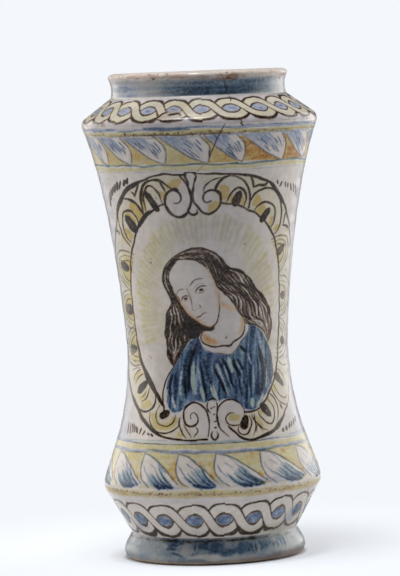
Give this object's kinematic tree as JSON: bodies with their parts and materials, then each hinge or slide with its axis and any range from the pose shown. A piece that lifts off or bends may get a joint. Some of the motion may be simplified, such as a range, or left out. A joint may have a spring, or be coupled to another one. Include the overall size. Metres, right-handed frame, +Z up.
{
  "type": "waisted drug jar",
  "caption": "Tall waisted tin-glazed drug jar with a sharp upper edge, a soft lower edge, a cushion foot and an open mouth with a turned-out lip, painted with a bust between pattern bands.",
  "frame": {"origin": "middle of the standing edge, on the jar's axis", "axes": "+Z up along the jar's axis, -Y the painted front with the medallion, +X to the right of someone who looks at that front"},
  "size_m": [0.1212, 0.1212, 0.25],
  "materials": {
    "fired_clay": "bare fired buff earthenware",
    "painted_glaze": "glossy greyish-white tin glaze painted in blue, yellow, ochre and brown",
    "lining_glaze": "plain glossy tin glaze"
  },
  "bodies": {
    "root": {"foot_ring": "fired_clay", "base_bowl": "fired_clay", "waist_wall": "fired_clay", "shoulder_ring": "fired_clay", "neck_collar": "fired_clay", "outer_glaze": "painted_glaze", "inner_glaze": "lining_glaze"}
  },
  "joints": []
}
